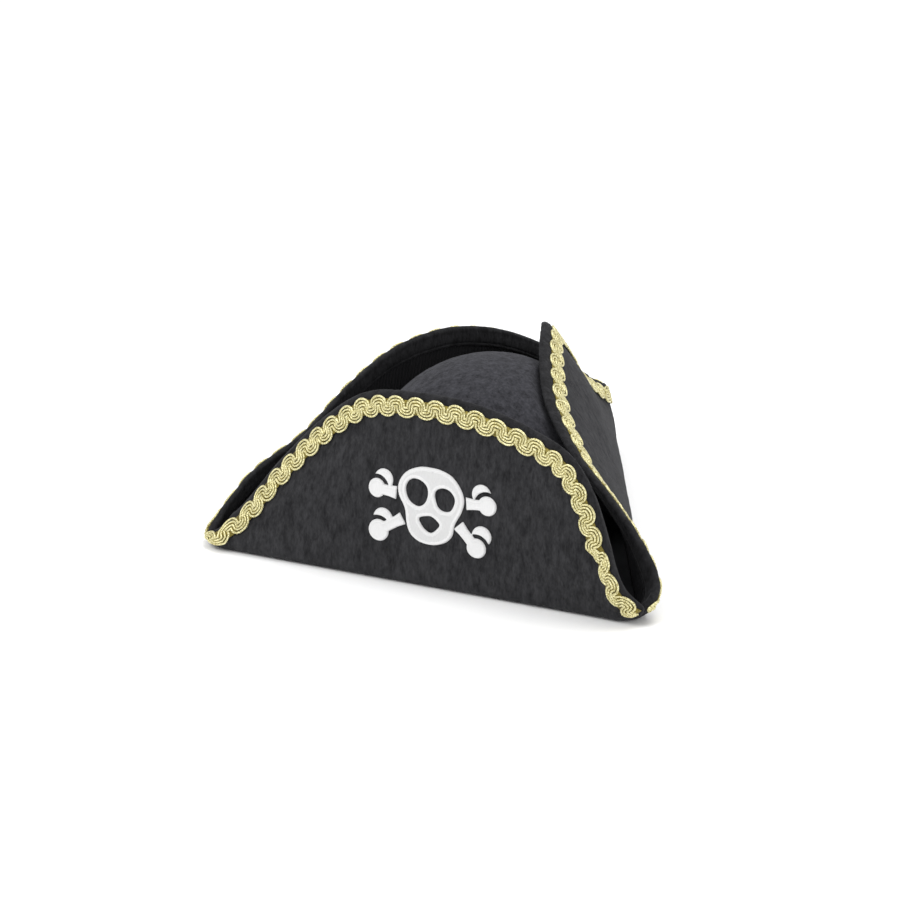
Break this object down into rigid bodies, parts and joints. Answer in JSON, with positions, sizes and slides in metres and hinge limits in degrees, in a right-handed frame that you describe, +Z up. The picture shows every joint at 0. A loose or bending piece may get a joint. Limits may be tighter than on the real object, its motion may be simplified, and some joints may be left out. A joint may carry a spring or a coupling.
{
  "type": "pirate hat",
  "caption": "Small plush tricorn pirate hat with three turned-up brim flaps, scroll braid along the edge and an embroidered skull emblem on the front flap.",
  "frame": {"origin": "centre of the head opening, on the plane the hat rests on", "axes": "+Z up through the crown, -Y towards the front flap with the emblem"},
  "size_m": [0.2376, 0.2323, 0.0965],
  "materials": {
    "plush": "short-pile charcoal plush",
    "foam": "sheet foam, inside the cloth",
    "lining": "ribbed knit lining",
    "braid": "metallic pale-gold gimp braid",
    "embroidery": "white satin-stitch rayon",
    "sweatband": "woven black band",
    "label": "blank satin ribbon"
  },
  "bodies": {
    "hat": {"brim_plush": "plush", "brim_foam": "foam", "brim_lining": "lining", "crown_plush": "plush", "crown_foam": "foam", "crown_lining": "lining", "sweatband": "sweatband", "care_label": "label"},
    "front_flap": {"front_flap_plush": "plush", "front_flap_foam": "foam", "front_flap_lining": "lining", "front_edge_binding": "plush", "front_braid": "braid", "skull": "embroidery", "bone_upper_left": "embroidery", "bone_lower_left": "embroidery", "bone_upper_right": "embroidery", "bone_lower_right": "embroidery"},
    "right_flap": {"right_flap_plush": "plush", "right_flap_foam": "foam", "right_flap_lining": "lining", "right_edge_binding": "plush", "right_braid": "braid"},
    "left_flap": {"left_flap_plush": "plush", "left_flap_foam": "foam", "left_flap_lining": "lining", "left_edge_binding": "plush", "left_braid": "braid"}
  },
  "joints": [
    {"name": "front_fold", "type": "hinge", "parent": "hat", "child": "front_flap", "pos_m": [0, -0.065, 0], "axis": [1, 0, 0], "range_deg": [0, 15], "stiffness_Nm_per_rad": 0.3},
    {"name": "right_fold", "type": "hinge", "parent": "hat", "child": "right_flap", "pos_m": [0.05801, 0.04263, 0], "axis": [-0.4472, 0.8944, 0], "range_deg": [0, 15], "stiffness_Nm_per_rad": 0.3},
    {"name": "left_fold", "type": "hinge", "parent": "hat", "child": "left_flap", "pos_m": [-0.05493, 0.04278, 0], "axis": [-0.4688, -0.8833, 0], "range_deg": [0, 15], "stiffness_Nm_per_rad": 0.3}
  ]
}
